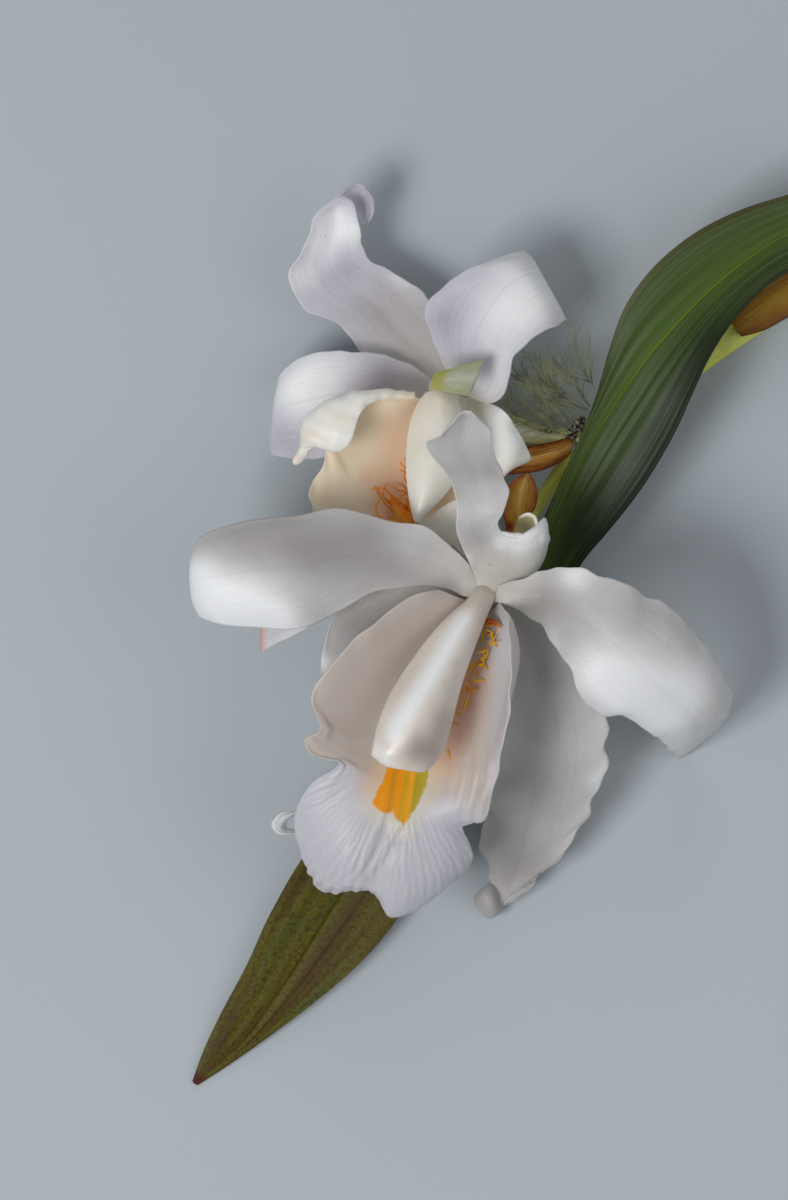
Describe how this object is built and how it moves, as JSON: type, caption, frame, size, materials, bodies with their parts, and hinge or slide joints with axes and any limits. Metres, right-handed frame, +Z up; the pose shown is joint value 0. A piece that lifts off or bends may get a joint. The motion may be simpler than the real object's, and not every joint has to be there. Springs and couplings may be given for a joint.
{
  "type": "coelogyne orchid",
  "caption": "Cut orchid spray that lies on its back: white flowers with orange-keeled lips, a strap leaf and a sheathed flower stem.",
  "frame": {"origin": "on the resting plane, at the middle of the whole spray's box", "axes": "+Z up from the surface that the spray lies on, the way the flowers face; +Y from the leaf's tip towards the upper flower; +X towards the cut shoot"},
  "size_m": [0.1427, 0.1583, 0.0525],
  "materials": {
    "tepal_front": "satin",
    "tepal_back": "satin",
    "lip_front": "satin",
    "lip_back": "satin",
    "column": "satin",
    "ovary": "satin",
    "bract_amber": "satin",
    "bract_brown": "matte",
    "bract_pale": "satin",
    "leaf": "satin",
    "stem": "satin",
    "sheath": "matte",
    "knob": "matte",
    "hair": "matte"
  },
  "bodies": {
    "root": {"front_dorsal_sepal": "tepal_front", "back_dorsal_sepal": "tepal_back", "front_petal_left": "tepal_front", "back_petal_left": "tepal_back", "front_petal_right": "tepal_front", "back_petal_right": "tepal_back", "front_lateral_sepal_left": "tepal_front", "back_lateral_sepal_left": "tepal_back", "front_lateral_sepal_right": "tepal_front", "back_lateral_sepal_right": "tepal_back", "front_lip": "lip_front", "back_lip": "lip_back", "front_column": "column", "back_column": "column", "front_ovary": "ovary", "back_ovary": "ovary", "front_bract": "bract_amber", "back_bract": "bract_brown", "pale_bract": "bract_pale", "leaf": "leaf", "flower_stem": "stem", "shoot_base": "stem", "stem_sheath": "sheath", "shoot_scale": "sheath", "node_knob": "knob", "hair_tuft": "hair"}
  },
  "joints": []
}
